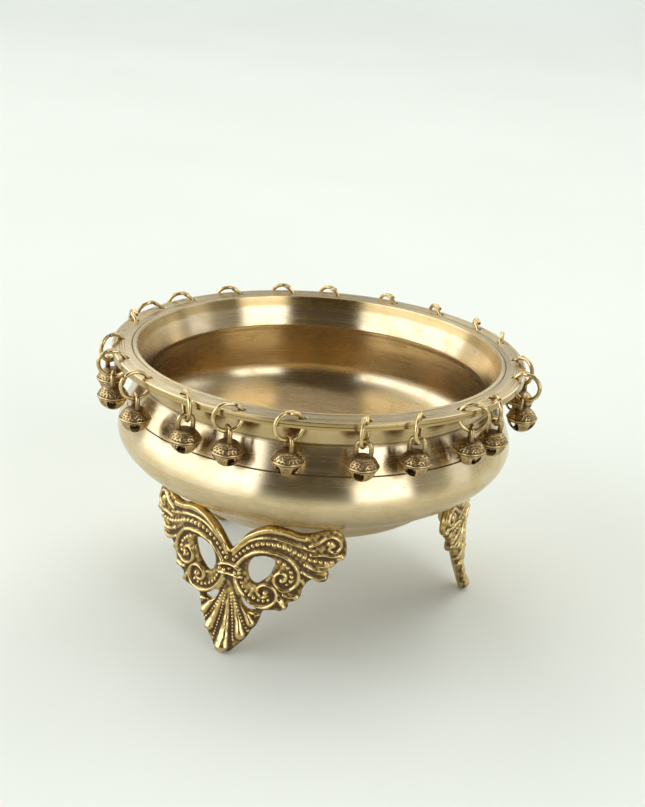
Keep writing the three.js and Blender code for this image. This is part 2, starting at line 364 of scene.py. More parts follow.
def drawn_wire():
    """Bright yellow wire, with draw marks, dulled patches and a little green tarnish."""
    n = Nodes("wire_brass")
    marks = n.noise(900.0, 3.0, 0.6)
    dull = n.noise(170.0, 4.0, 0.65)
    green = n.noise(38.0, 3.0, 0.6)
    color = n.mix(n.spread(dull, 0.42, 0.68), (0.66, 0.50, 0.24, 1), (0.32, 0.22, 0.085, 1))
    color = n.mix(n.spread(green, 0.60, 0.74, 0.0, 0.55), color, (0.20, 0.22, 0.12, 1))
    color = n.mix(n.math("MULTIPLY", n.attribute("cavity"), 0.8), color, (0.10, 0.06, 0.025, 1))
    n.link(color, n.shader.inputs["Base Color"])
    n.link(n.spread(dull, 0.35, 0.75, 0.20, 0.42), n.shader.inputs["Roughness"])
    normal = n.bump(dull, 0.15, 0.0004)
    n.link(n.bump(marks, 0.2, 0.00008, normal), n.shader.inputs["Normal"])
    return n.material


def antiqued(name, high, middle, deep, patch, grain):
    """Cast brass: rubbed bright on its high points, brown between them and nearly black in crevices."""
    n = Nodes(name)
    cavity = n.attribute("cavity")
    stain = n.noise(patch, 5.0, 0.62)
    cast = n.noise(grain, 4.0, 0.7)
    worn = n.math("ADD", cavity, n.math("MULTIPLY", n.math("SUBTRACT", stain, 0.5), 0.7))
    worn = n.math("ADD", worn, n.math("MULTIPLY", n.math("SUBTRACT", cast, 0.5), 0.35))
    color = n.mix(n.spread(worn, 0.05, 0.45), high, middle)
    color = n.mix(n.spread(worn, 0.40, 0.85), color, deep)
    n.link(color, n.shader.inputs["Base Color"])
    n.link(n.spread(worn, 0.0, 0.9, 0.20, 0.55), n.shader.inputs["Roughness"])
    n.link(n.spread(worn, 0.35, 0.9, 1.0, 0.45), n.shader.inputs["Metallic"])
    normal = n.bump(stain, 0.25, 0.0005)
    n.link(n.bump(cast, 0.35, 0.00018, normal), n.shader.inputs["Normal"])
    return n.material


def floor_paint():
    n = Nodes("floor")
    n.shader.inputs["Metallic"].default_value = 0.0
    tone = n.noise(1.6, 3.0, 0.5)
    n.link(n.mix(n.spread(tone, 0.3, 0.7), (0.775, 0.785, 0.695, 1), (0.80, 0.81, 0.72, 1)),
           n.shader.inputs["Base Color"])
    n.shader.inputs["Roughness"].default_value = 0.75
    n.shader.inputs["Specular IOR Level"].default_value = 0.15
    return n.material


BOWL_BRASS = turned_brass()
WIRE_BRASS = drawn_wire()
BELL_BRASS = antiqued("bell_brass", (0.56, 0.41, 0.195, 1), (0.27, 0.17, 0.065, 1),
                      (0.045, 0.024, 0.009, 1), 240.0, 1300.0)
LEG_BRASS = antiqued("leg_brass", (0.66, 0.49, 0.215, 1), (0.40, 0.265, 0.085, 1),
                     (0.085, 0.045, 0.014, 1), 150.0, 900.0)
FLOOR_PAINT = floor_paint()

# ---- bowl ----

# Turned grooves in the rim's top and in the belly: middle, half width and depth.
RIM_GROOVES = [(111.4, 0.3, 0.12), (113.0, 0.42, 0.5), (117.6, 0.25, 0.16), (119.2, 0.22, 0.22),
               (120.5, 0.22, 0.22), (123.1, 0.28, 0.2)]
RIM_WALL_GROOVE = (157.0, 0.25, 0.22)
BELLY_GROOVE = (124.6, 0.42, 0.55)
# Where the inner side of the neck ends, in a soft edge over the belly, and the point of the belly's
# section that this edge runs down to.
NECK_FOOT = np.array([102.9, 141.6])
NECK_JOIN = 6
# How far the turned edge under the belly stands out, and down.
EDGE_SHIFT = (0.25, -0.25)
BASE_GROOVES = [(30, 0.6, 0.35), (46, 0.6, 0.35), (60, 0.9, 0.5)]
FLOOR_GROOVES = [(22, 0.4, 0.12), (40, 0.4, 0.12), (61, 0.6, 0.2)]


def belly_curve(inset, count):
    """The section below the crease, from the base outwards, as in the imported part."""
    base = np.array([BASE[0], BASE[1] + inset])
    edge = np.array([EDGE[0] - inset / 2, EDGE[1] + inset])
    belly = np.array([BELLY[0] - inset, BELLY[1]])
    crease = np.array([CREASE[0] - inset, CREASE[1]])
    return np.vstack([
        [base],
        bezier([base, base + (12, 1.4), edge + (-6.4, -6.8), edge], count // 2),
        bezier([edge, edge + (17.1, 6.4), belly + (-0.1, -9.8), belly], count),
        bezier([belly, belly + (-0.7, 10), crease + (3.3, -9.9), crease], count),
    ])


def grooved(line, key, grooves, direction):
    """Adds grooves to a line of points, with close points at each. key is the coordinate that
    places them."""
    line = np.asarray(line, float)
    order = 1 if line[-1, key] >= line[0, key] else -1
    places = set(line[:, key].tolist())
    for middle, half, _ in grooves:
        places |= {middle + half * share for share in (-1.5, -1, -0.7, -0.35, 0, 0.35, 0.7, 1, 1.5)}
    low, high = sorted((line[0, key], line[-1, key]))
    places = np.array(sorted(p for p in places if low <= p <= high))[::order]
    source = line[::order]
    other = np.interp(places, source[:, key], source[:, 1 - key])
    points = np.zeros((len(places), 2))
    points[:, key], points[:, 1 - key] = places, other
    cavity = np.zeros(len(places))
    for middle, half, depth in grooves:
        dip = np.clip(1 - np.abs(places - middle) / half, 0, 1) ** 0.7
        points += np.outer(dip * depth, direction)
        cavity = np.maximum(cavity, dip * min(1.0, depth * 2.2))
    return points, cavity


def plain(points):
    points = np.asarray(points, float)
    return points, np.zeros(len(points))


def bowl_profile():
    """The whole section, from the axis under the base to the axis on the floor, and its dirt."""
    outside = belly_curve(0, 40)
    split = int(np.argmin(np.abs(outside[:, 1] - BELLY[1])))
    inside = belly_curve(WALL, 34)[::-1]
    under = RIM_TOP - RIM_THICKNESS
    edge_at = int(np.argmin(np.abs(outside[:, 1] - EDGE[1])))
    outside[edge_at] += EDGE_SHIFT
    parts = [
        plain([[0, BASE_HEIGHT]]),
        grooved([[0.6, BASE_HEIGHT], [BASE[0] - 1, BASE_HEIGHT]], 0, BASE_GROOVES, (0, 1)),
        plain(outside[:split]),
        grooved(outside[split:-2], 1, [BELLY_GROOVE], (-1, 0)),
        (np.array([[CREASE[0] + 0.75, CREASE[1] - 1.2], [CREASE[0] + 0.15, CREASE[1] - 0.25],
                   [CREASE[0] - 0.1, CREASE[1] + 0.1], [CREASE[0] + 0.1, CREASE[1] + 0.5]]),
         np.array([0.0, 0.35, 0.5, 0.1])),
        plain(bezier([[CREASE[0] + 0.1, CREASE[1] + 0.5], [CREASE[0] + 1.2, CREASE[1] + 4.5],
                      [NECK_RADIUS - 0.4, under - 7], [NECK_RADIUS - 0.3, under - 1.6]], 12)),
        (np.array([[NECK_RADIUS - 0.1, under - 0.8], [NECK_RADIUS + 0.4, under - 0.2],
                   [NECK_RADIUS + 1.3, under]]), np.array([0.35, 0.6, 0.3])),
        plain([[RIM_RADIUS - 2, under], [RIM_RADIUS - 0.6, under + 0.05],
               [RIM_RADIUS - 0.15, under + 0.3]]),
        grooved([[RIM_RADIUS, under + 0.8], [RIM_RADIUS, RIM_TOP - 0.9]], 1, [RIM_WALL_GROOVE], (-1, 0)),
        plain([[RIM_RADIUS - 0.1, RIM_TOP - 0.45], [RIM_RADIUS - 0.35, RIM_TOP - 0.15],
               [RIM_RADIUS - 0.8, RIM_TOP]]),
        grooved([[RIM_RADIUS - 1.0, RIM_TOP], [LIP_RADIUS + 0.5, RIM_TOP]], 0, RIM_GROOVES, (0, -1)),
        plain([[LIP_RADIUS + 0.15, RIM_TOP - 0.12], [LIP_RADIUS, RIM_TOP - 0.45]]),
        plain(bezier([[LIP_RADIUS, RIM_TOP - 0.45], [LIP_RADIUS - 0.6, RIM_TOP - 2.6],
                      NECK_FOOT + (0.8, 3.0), NECK_FOOT], 12)),
        plain(bezier([NECK_FOOT, NECK_FOOT - (0.3, 1.2), inside[NECK_JOIN] + (-0.4, 1.8),
                      inside[NECK_JOIN]], 8)),
        plain(inside[NECK_JOIN + 1:]),
        grooved([[BASE[0] - 1, BASE_HEIGHT + WALL], [0.6, BASE_HEIGHT + WALL]], 0, FLOOR_GROOVES, (0, -1)),
        plain([[0, BASE_HEIGHT + WALL]]),
    ]
    return np.vstack([p for p, _ in parts]), np.concatenate([c for _, c in parts])


def make_bowl():
    profile, cavity = bowl_profile()
    points, faces = turned(profile, BOWL_SIDES)
    spread = np.concatenate([np.repeat(cavity[1:-1], BOWL_SIDES), [0, 0]])
    radius, height = np.hypot(points[:, 0], points[:, 1]), points[:, 2]
    below = RIM_TOP - RIM_THICKNESS
    # Painted shade on the neck and rim wall: where the darker, deeper gold goes, strongest from the rim's
    # underside up to just below its top.
    neck = 0.5 * eased(height, CREASE[1] - 3, CREASE[1] + 3) + 0.35 * eased(height, below - 3, below)
    neck_shade = neck * (radius > CREASE[0] - 0.5) * (1 - eased(height, RIM_TOP - 0.8, RIM_TOP - 0.1))
    bowl = object_of("bowl_turned", points, faces, BOWL_BRASS, spread, neck_shade)
    half = RIM_THICKNESS / 2
    worn = HOLE_RADIUS + HOLE_WEAR
    tool = [[0, -half - DRILL_PAST], [HOLE_RADIUS, -half - DRILL_PAST], [HOLE_RADIUS, -half - 0.1],
            [HOLE_RADIUS, half - 0.35], [worn, half + 0.06], [worn, half + DRILL_PAST],
            [0, half + DRILL_PAST]]
    drill_points, drill_faces = turned(tool, HOLE_SIDES)
    drills = []
    for number in NUMBERS:
        place = np.array(JOINTS[f"ring_{number}_swivel"]["pos_m"]) / MM
        drills.append((drill_points + place, drill_faces))
    cutter_points, cutter_faces = combined(*drills)
    dirt = np.full(len(cutter_points), 0.75)
    cut(bowl, object_of("drills", cutter_points, cutter_faces, BOWL_BRASS, dirt))
    smooth(bowl, 24)
    settle(bowl, "urli", "bowl")


# ---- rings ----

# Where the two cut ends of a ring meet (degrees round from its outermost point, up and over), how many
# degrees they pass each other, and how far each lies to its side. Most meet a little past the top.
USUAL_ENDS = (112, 20, 1.22)
RING_ENDS = {"14": (75, 34, 1.22), "15": (-48, 24, 1.22), "16": (72, 34, 1.22), "17": (96, 30, 1.22),
             "18": (118, -3, 0.3), "13": (60, -4, 0.1), "19": (116, 14, 1.22), "21": (80, 22, 1.22),
             "12": (96, 18, 1.22), "10": (70, -4, 0.2), "20": (40, -4, 0.1), "22": (75, -3, 0.2)}


def hanger_frame(number):
    """The place of a ring's hole, its outward direction, and its bell's pivot, in millimetres."""
    hole = np.array(JOINTS[f"ring_{number}_swivel"]["pos_m"]) / MM
    swing = JOINTS[f"bell_{number}_swing"]
    pivot = np.array(swing["pos_m"]) / MM
    return hole, -np.array(swing["axis"], float), pivot


def in_frame(points, place, out):
    """Points drawn with X along out and Z up, moved to their place."""
    side = np.array([-out[1], out[0], 0])
    points = np.asarray(points, float)
    return place + points[:, :1] * out + points[:, 1:2] * side + points[:, 2:3] * np.array([0, 0, 1])


def make_ring(number):
    hole, out, _ = hanger_frame(number)
    ends_at, lap, apart = RING_ENDS.get(number, USUAL_ENDS)
    turn = np.radians(np.linspace(ends_at + lap / 2, ends_at - lap / 2 - 360, 120))
    share = np.linspace(0, 1, len(turn))
    sideways = apart * (eased(share, 0.88, 0.97) - eased(1 - share, 0.88, 0.97))
    free = np.clip(np.sin(turn), 0, 1) ** 2
    radius = RING_RADIUS + RING_UNEVEN * free * np.sin(2 * turn + random.uniform(0, 6))
    outwards = RING_REACH + RING_STRETCH + (radius + RING_STRETCH) * np.cos(turn)
    path = np.stack([outwards, sideways, radius * np.sin(turn) - RING_SINK], 1)
    width = WIRE_RADIUS * (1 - 0.22 * (1 - eased(np.minimum(share, 1 - share), 0, 0.012)))
    points, faces = swept(in_frame(path, hole, out), width, WIRE_SIDES)
    cavity = np.repeat(0.75 * (1 - eased(np.minimum(share, 1 - share), 0.0, 0.02)), WIRE_SIDES)
    ring = object_of(f"ring_{number}_wire", points, faces, WIRE_BRASS, np.append(cavity, [0.6, 0.6]))
    smooth(ring, 50)
    settle(ring, f"ring_{number}", f"ring_{number}")


# ---- bells ----

# A bell's outside, as [drop below the ring's wire, radius], from the crown down to the foot.
BELL_OUTSIDE = [[5.05, 0.0], [5.05, 2.4], [5.3, 3.9], [5.8, 4.95], [6.6, 6.1], [7.6, 7.1], [8.7, 7.9],
                [9.8, 8.5], [10.4, 8.75], [10.6, 8.95], [10.85, 9.2], [11.2, 9.3], [11.5, 9.2], [11.8, 8.9],
                [11.95, 8.5], [12.15, 8.35], [12.45, 8.55], [13.4, 8.4], [14.6, 7.95], [15.9, 7.2],
                [17.1, 6.2], [18.1, 5.1], [18.9, 4.1], [19.3, 3.3], [19.4, 2.6], [19.4, 0.0]]
BELL_INSIDE = [[6.4, 0.0], [6.4, 4.0], [8.6, 6.5], [11.1, 7.9], [13.4, 7.2], [15.8, 6.1], [17.4, 4.5],
               [18.3, 2.8], [18.4, 0.0]]
BELL_SIDES = 160
BELL_STEP = 0.19
HOLLOW_SIDES = 48
# Drops of the folds over and under the bell's middle ridge, and of the ridge.
UPPER_FOLD, LOWER_FOLD, RIDGE = 10.4, 12.15, 11.2
SCALE_ROWS = [6.75, 7.85, 8.95, 9.95]
PANEL_ROWS = [13.3, 14.2, 15.1, 16.0, 16.9]
SLOT_TOP = 12.6
SLOT_FOOT = 18.3
SLOT_BAR_REACH = 14
LOOP_RADIUS = 1.25
LOOP_SIDES = 14
LOOP_PATH = [[-3.9, -6.3], [-4.1, -3.7], [-4.1, -1.1], [-3.5, 1.05], [-2.0, 2.25], [0, 2.52],
             [2.0, 2.25], [3.5, 1.05], [4.1, -1.1], [4.1, -3.7], [3.9, -6.3]]


def refined(points, step):
    """The same line with points no further apart than step."""
    points = np.asarray(points, float)
    fine = [points[:1]]
    for a, b in zip(points[:-1], points[1:]):
        count = max(1, math.ceil(np.linalg.norm(b - a) / step))
        fine.append(a + (b - a) * np.linspace(0, 1, count + 1)[1:, None])
    return np.vstack(fine)


def stamped(drop, angle):
    """Depth of the stamped marks at a place on a bell: slanted scales above, lines of dots below."""
    depth = np.zeros_like(angle)
    for row, middle in enumerate(SCALE_ROWS):
        count = round(2 * math.pi * np.interp(middle, [5.7, 10.25], [4.3, 8.55]) / 2.3)
        uneven = 0.16 * np.sin(3 * angle + 2 * row) + 0.1 * np.sin(7 * angle + row)
        near = np.clip(1 - np.abs(drop - middle - uneven) / 0.42, 0, 1)
        phase = angle * count + row * 2.1 + 1.1 * (drop - middle) + 0.9 * np.sin(5 * angle + 3 * row)
        depth = np.maximum(depth, 0.26 * near**0.6 * eased(np.cos(phase), -0.75, 0.35))
    for row, middle in enumerate(PANEL_ROWS):
        near = np.clip(1 - np.abs(drop - middle) / 0.33, 0, 1)
        phase = angle * round(2 * math.pi * 7 / 1.3) + row * 1.7
        between = np.abs(np.cos(2 * angle)) > np.interp(drop, [13, 17], [0.42, 0.5])
        depth = np.maximum(depth, 0.22 * near**0.6 * eased(np.cos(phase), -0.7, 0.5) * (1 - between))
    return depth


def bell_shell():
    line = refined(BELL_OUTSIDE, BELL_STEP)
    angle = np.linspace(0, 2 * math.pi, BELL_SIDES, endpoint=False)
    drop = line[1:-1, 0, None] + 0 * angle
    depth = stamped(drop, angle + 0 * drop)
    r = line[1:-1, 1, None] - depth
    rings = np.stack([r * np.cos(angle), r * np.sin(angle), -drop], -1)
    points, faces = skinned(rings, [0, 0, -line[0, 0]], [0, 0, -line[-1, 0]])
    faces = [face[::-1] for face in faces]
    crown = 0.35 * (1 - eased(drop, 5.4, 6.6))
    fold = 0.55 * np.clip(1 - np.abs(drop - LOWER_FOLD) / 0.35, 0, 1)
    fold = fold + 0.4 * np.clip(1 - np.abs(drop - UPPER_FOLD) / 0.3, 0, 1)
    rubbed = 0.25 * np.clip(1 - np.abs(drop - RIDGE) / 0.6, 0, 1)
    cavity = np.clip(depth * 2.2 + crown + fold - rubbed + 0.2, 0, 1)
    return points, faces, np.append(cavity.ravel(), [0.8, 0.3])


def slot_bar():
    """A long bar along Y with the slots' outline, round at its corners."""
    top, foot = -SLOT_TOP, -SLOT_FOOT
    outline = through([[0, top], [2.2, top - 0.1], [2.85, top - 0.8], [2.75, top - 3.0], [2.3, foot + 1.7],
                       [1.6, foot + 0.3], [0, foot]], 22)
    outline = np.vstack([outline, outline[-2:0:-1] * (-1, 1)])
    reach = np.array([-SLOT_BAR_REACH, SLOT_BAR_REACH])
    rings = np.stack([np.stack([outline[:, 0], 0 * outline[:, 0] + y, outline[:, 1]], -1) for y in reach])
    middle = [0, 0, (top + foot) / 2]
    points, faces = skinned(rings, np.add(middle, [0, reach[0], 0]), np.add(middle, [0, reach[1], 0]))
    return points, faces


def turned_about_z(points, degrees):
    c, s = math.cos(math.radians(degrees)), math.sin(math.radians(degrees))
    points = np.asarray(points, float)
    x, y = points[:, 0], points[:, 1]
    return np.stack([c * x - s * y, s * x + c * y, points[:, 2]], 1)


def bell_pattern():
    """One bell's shell with its hollow and four slots, as points, faces and dirt, slots along X and Y."""
    points, faces, cavity = bell_shell()
    shell = object_of("bell_pattern", points, faces, BELL_BRASS, cavity)
    hollow_points, hollow_faces = turned([[r, -d] for d, r in BELL_INSIDE][::-1], HOLLOW_SIDES)
    dirt = np.full(len(hollow_points), 1.0)
    cut(shell, object_of("bell_hollow", hollow_points, hollow_faces, BELL_BRASS, dirt))
    for degrees in (0, 90):
        bar_points, bar_faces = slot_bar()
        bar_points = turned_about_z(bar_points, degrees)
        dirt = np.full(len(bar_points), 0.9)
        cut(shell, object_of("bell_slot", bar_points, bar_faces, BELL_BRASS, dirt))
    mesh = shell.data
    points = np.array([v.co for v in mesh.vertices], float) / MM
    faces = [list(p.vertices) for p in mesh.polygons]
    cavity = np.zeros(len(mesh.vertices), np.float32)
    mesh.attributes["cavity"].data.foreach_get("value", cavity)
    bpy.data.objects.remove(shell)
    return points, faces, cavity


def bell_loop():
    line = through([[0, y, z] for y, z in LOOP_PATH], 56)
    to_root = np.abs(np.linspace(-1, 1, len(line)))
    points, faces = swept(line, LOOP_RADIUS * (1 + 0.22 * to_root**3), LOOP_SIDES)
    cavity = np.repeat(0.15 + 0.75 * to_root**4, LOOP_SIDES)
    return points, faces, np.append(cavity, [1, 1])


# A pellet's section, as [radius, height], and how far it lies under the ring's wire.
PELLET_SECTION = [[0, -1.95], [1.0, -1.7], [1.75, -0.95], [2.0, 0.0], [1.8, 0.9], [1.05, 1.65], [0, 1.9]]
PELLET_DROP = 16.0


def pellet():
    """A rough cast pellet, lying on the bottom of a bell's hollow."""
    points, faces = turned(through(PELLET_SECTION, 22), 24)
    x, y, z = points[:, :1], points[:, 1:2], points[:, 2:3]
    lumps = 1 + 0.05 * np.sin(x * 2.3 + 1) * np.cos(y * 2.9 + z * 2.1)
    return points * lumps + [0, 0, -PELLET_DROP], faces


def make_bell(number, pattern, slot_turn):
    _, out, pivot = hanger_frame(number)
    points, faces, cavity = pattern
    # The pattern's slots lie along X and Y, and slot_turn counts from the ring's direction.
    shell_points = in_frame(turned_about_z(points, slot_turn), pivot, out)
    loop_points, loop_faces, loop_cavity = bell_loop()
    all_points, all_faces = combined((shell_points, faces), (in_frame(loop_points, pivot, out), loop_faces))
    dirt = np.append(cavity, loop_cavity)
    bell = object_of(f"bell_{number}_cast", all_points, all_faces, BELL_BRASS, dirt)
    smooth(bell, 46)
    settle(bell, f"bell_{number}", f"bell_{number}")
    pellet_points, pellet_faces = pellet()
    dirt = np.full(len(pellet_points), 0.35)
    pellet_points = in_frame(pellet_points, pivot, out)
    loose = object_of(f"bell_{number}_pellet", pellet_points, pellet_faces, BELL_BRASS, dirt)
    smooth(loose, 60)
    settle(loose, f"bell_{number}", None)


# ---- legs ----
# A leg is worked out flat, as a relief over X (along the bowl's girth) and Y (up). Its right half is
# drawn, and the left half mirrors it. Then it is bent round the bowl's axis.

LEG_OUTLINE = [[0, 65], [3, 68.5], [9, 76], [15, 80.5], [20, 83], [26, 84], [33, 83], [39, 81.5],
               [46, 81.5], [53, 83.5], [58, 85.5], [63, 83], [66.5, 77.5], [67.5, 71], [66.5, 66.5],
               [63, 64.5], [60.5, 61.5], [57.5, 60], [58, 56], [56.5, 52], [52, 51.5], [49, 53],
               [46, 51], [43.5, 46.5], [42.5, 41.5], [39.5, 38.5], [36, 37], [35.5, 33.5], [31.5, 31],
               [27, 31], [21.5, 29.5], [20, 25.5], [18.5, 20.5], [15.5, 16.5], [13, 11.5], [10, 7.5],
               [7, 4.2], [4.5, 1.4], [0, 0.2]]
LEG_WINDOW = [[14.5, 62.5], [20.5, 64.3], [25.8, 63.2], [26.6, 60], [25.2, 56], [23.6, 52.4], [20, 48.6],
              [16.5, 46], [13, 47.2], [11, 51], [10.6, 55], [12, 59.5]]
LEG_LOWER_WINDOW = [[6.6, 36.2], [10, 35.2], [13.2, 32.4], [17, 29.9], [15, 28.8], [12, 28.9], [8.6, 31.4]]

ARM_RIM = [[1.5, 65.5], [5, 70.5], [10, 75.8], [16, 79.8], [22, 81.8], [29, 82], [36, 80.6], [43, 79]]
ARM_UPPER_LINE = [[2, 61.8], [7, 68.2], [12.5, 73.2], [19, 76.2], [26, 77], [33, 76.2], [40, 73.8],
                  [48, 71.5]]
ARM_BEADS = [[2.6, 58.5], [7, 64.3], [12.5, 69.3], [19, 72.2], [26, 72.8], [33, 71.8], [39, 69.2],
             [46.5, 66], [54, 64.5], [59, 64.8]]
UPPER_SCROLL = [[5, 56.5], [8.6, 61.4], [13.6, 65.6], [19.5, 67.8], [26, 68], [32.5, 66.5], [37.6, 62.6],
                [40.6, 56.8], [40.4, 50.6], [36.6, 46.2], [31.2, 45.4], [27.4, 48.6], [27.2, 53.2],
                [30.2, 56], [33.4, 54.6], [33.4, 51.6], [31.6, 50.9]]
UPPER_BEADS = [[29.4, 62.6], [33.6, 60.4], [36.6, 56.2], [36.6, 51.8], [34.4, 49]]
LOWER_SCROLL = [[3.6, 51], [4.2, 46], [7, 40.4], [11.2, 36], [16.4, 33.2], [22, 32.8], [26.8, 35.4],
                [29, 40], [27.4, 44.8], [23, 47], [18.8, 45.4], [17.6, 41.6], [20, 38.8], [22.8, 39.6],
                [23, 41.8]]
LOWER_BEADS = [[7.4, 48.4], [8.2, 44.2], [11, 40.2], [15, 37.4], [20, 36.2], [24.4, 37.4]]
LEAF_LINES = [[[46, 74.4], [51, 76.8], [56.4, 80.6], [61.8, 79], [63.6, 74.4], [60.6, 71], [57, 72.4],
               [57.6, 75.4]],
              [[47, 69], [53, 69.2], [59, 68.6], [64, 69.4]],
              [[44, 62.5], [49, 60], [54, 59.4], [57.4, 61]],
              [[42.6, 58], [46.6, 55.6], [51.6, 54.4], [56, 55]],
              [[42.6, 53], [44.4, 49.6]],
              [[33, 42.4], [36.6, 41.4], [40, 42.6]],
              [[30.6, 38.4], [32.6, 35.4], [34.2, 34.6]]]
COLLAR_LINES = [[[0, 55.6], [3.4, 55.2], [6.6, 53.6]], [[0, 49.4], [3.4, 49.2], [6.2, 48.8]]]
COLLAR_BEADS = [[0, 52.5], [3, 52.3], [6.2, 51.2]]
PALM_RIBS = [[[3.2, 45], [5.6, 39.6], [9.4, 33.4], [14.6, 28.8], [19.6, 27.0]]]
PALM_BEAD_ROWS = [([[1.7, 36], [3.3, 26], [4.9, 16.5], [6.2, 9]], 0.85),
                  ([[3.0, 37], [7.0, 28], [11.2, 20.4], [13.9, 16.2]], 0.9),
                  ([[3.8, 41.5], [7.4, 34.6], [12, 29.4], [17.4, 26.0]], 0.85)]
# Smooth drops of the palmette: root, tip, radius at the root and at the tip.
PALM_DROPS = [([0, 38], [0, 4.8], 0.6, 4.4), ([2.4, 37], [9.8, 13.6], 0.5, 3.3),
              ([4.2, 39], [15.0, 21.6], 0.45, 2.6)]


def inside_polygon(x, y, polygon):
    inside = np.zeros(x.shape, bool)
    for (x0, y0), (x1, y1) in zip(polygon, np.roll(polygon, -1, axis=0)):
        if y0 != y1:
            crossing = x < (x1 - x0) * (y - y0) / (y1 - y0) + x0
            inside ^= ((y0 > y) != (y1 > y)) & crossing
    return inside


def nearest(x, y, line):
    """Distance from each place to a line, and how far along the line the nearest point is, from 0 to 1."""
    line = np.asarray(line, float)
    best, along = np.full(x.shape, 1e9), np.zeros(x.shape)
    lengths = np.linalg.norm(np.diff(line, axis=0), axis=1)
    start = np.concatenate([[0], np.cumsum(lengths)])
    for i, (a, b) in enumerate(zip(line[:-1], line[1:])):
        d = b - a
        t = np.clip(((x - a[0]) * d[0] + (y - a[1]) * d[1]) / max(d @ d, 1e-12), 0, 1)
        gap = np.hypot(x - a[0] - t * d[0], y - a[1] - t * d[1])
        closer = gap < best
        best = np.where(closer, gap, best)
        along = np.where(closer, (start[i] + t * lengths[i]) / start[-1], along)
    return best, along


def outline_distance(x, y):
    """How far a place is outside the leg's outline: negative on the metal."""
    whole = through(LEG_OUTLINE, 260)
    whole = np.vstack([whole, whole[::-1] * (-1, 1)])
    distance = np.where(inside_polygon(x, y, whole), -1, 1) * nearest(x, y, whole)[0]
    for window in (LEG_WINDOW, LEG_LOWER_WINDOW):
        closed = through(window + window[:1], 90)
        gap = nearest(x, y, closed)[0]
        distance = np.maximum(distance, np.where(inside_polygon(x, y, closed), gap, -gap))
    return distance


def ridge(x, y, points, half_width, height, thin=1.0):
    """A round ridge along a line, which thins towards its end."""
    gap, along = nearest(x, y, through(points, 8 * len(points)))
    width = half_width * (1 + (thin - 1) * along)
    return height * (width / half_width) * np.sqrt(np.clip(1 - (gap / width) ** 2, 0, 1)) ** 0.8


def bead_row(x, y, points, radius, height, gap=0.25):
    line = through(points, 200)
    steps = np.concatenate([[0], np.cumsum(np.linalg.norm(np.diff(line, axis=0), axis=1))])
    count = max(2, round(steps[-1] / (2 * radius + gap)))
    relief = np.zeros(x.shape)
    for place in np.linspace(0, steps[-1], count):
        cx, cy = np.interp(place, steps, line[:, 0]), np.interp(place, steps, line[:, 1])
        gap2 = ((x - cx) ** 2 + (y - cy) ** 2) / radius**2
        relief = np.maximum(relief, height * np.sqrt(np.clip(1 - gap2, 0, 1)))
    return relief


def drop_shape(x, y, root, tip, root_radius, tip_radius):
    gap, along = nearest(x, y, np.array([root, tip], float))
    width = root_radius + (tip_radius - root_radius) * along**1.5
    return width * np.sqrt(np.clip(1 - (gap / width) ** 2, 0, 1))


def leg_relief(x, y):
    """Height of the casting's face over its plate."""
    x = np.abs(x)
    ground = 0.5 * eased(y, 20, 60) + 0.2 * np.sin(1.7 * x + 0.4 * y) * np.sin(1.3 * y)
    tops = [
        ridge(x, y, ARM_RIM, 3.0, 2.5, 0.8),
        ridge(x, y, ARM_UPPER_LINE, 1.0, 2.0, 0.8),
        bead_row(x, y, ARM_BEADS, 1.35, 2.0),
        ridge(x, y, UPPER_SCROLL, 1.35, 2.7, 0.75),
        bead_row(x, y, UPPER_BEADS, 1.15, 1.7),
        ridge(x, y, LOWER_SCROLL, 1.35, 2.7, 0.75),
        bead_row(x, y, LOWER_BEADS, 1.15, 1.7),
        bead_row(x, y, [[31.6, 51.2], [31.8, 51.4]], 1.9, 3.0),
        bead_row(x, y, [[22.4, 42], [22.6, 42.2]], 1.9, 3.0),
        bead_row(x, y, COLLAR_BEADS, 1.25, 2.9, 0.1),
        drop_shape(x, y, [57.4, 76.4], [58.6, 75.2], 2.2, 2.2),
        drop_shape(x, y, [64.6, 67.6], [62.4, 66.8], 1.9, 1.4),
        0.9 * drop_shape(x, y, [52, 61.8], [59.6, 63.4], 1.2, 1.7),
        0.9 * drop_shape(x, y, [50, 57.2], [55.4, 57.6], 1.1, 1.8),
        0.9 * drop_shape(x, y, [46.6, 50.4], [51.4, 53.4], 1.0, 1.7),
        0.9 * drop_shape(x, y, [34.4, 44.6], [40.6, 40.6], 1.0, 1.9),
        0.9 * drop_shape(x, y, [30.6, 42], [33.8, 33.4], 0.9, 1.6),
    ]
    tops += [ridge(x, y, line, 1.05, 2.2, 0.85) for line in LEAF_LINES]
    tops += [ridge(x, y, line, 1.1, 3.1) for line in COLLAR_LINES]
    tops += [ridge(x, y, line, 0.95, 1.9, 0.9) for line in PALM_RIBS]
    tops += [bead_row(x, y, line, size, 1.35, 0.15) for line, size in PALM_BEAD_ROWS]
    tops += [drop_shape(x, y, *drop) for drop in PALM_DROPS]
    relief = np.maximum.reduce(tops)
    hatch = 0.16 * (np.sin(3.3 * (x + 0.5 * y)) > 0.55) * (nearest(x, y, through(ARM_RIM, 60))[0] < 2.6)
    return np.maximum(ground, relief - hatch)


def cast_lumps(shape):
    """Small uneven lumps of a sand casting, over the whole leg."""
    coarse, fine = (blurred(random.normal(size=shape), cells) for cells in (4, 2))
    return 0.16 * coarse / coarse.std() + 0.09 * fine / fine.std()


def blurred(values, cells):
    """Gaussian blur of a grid."""
    reach = np.arange(-3 * cells, 3 * cells + 1)
    weights = np.exp(-0.5 * (reach / cells) ** 2)
    weights /= weights.sum()
    for axis in (0, 1):
        margins = [(3 * cells, 3 * cells) if a == axis else (0, 0) for a in (0, 1)]
        padded = np.pad(values, margins, mode="edge")
        values = np.apply_along_axis(lambda line: np.convolve(line, weights, "valid"), axis, padded)
    return values


def rounded(share):
    """A quarter circle: 0 at an edge, and 1 from share 1 inwards."""
    return np.sqrt(np.clip(1 - (1 - np.clip(share, 0, 1)) ** 2, 0, 1))


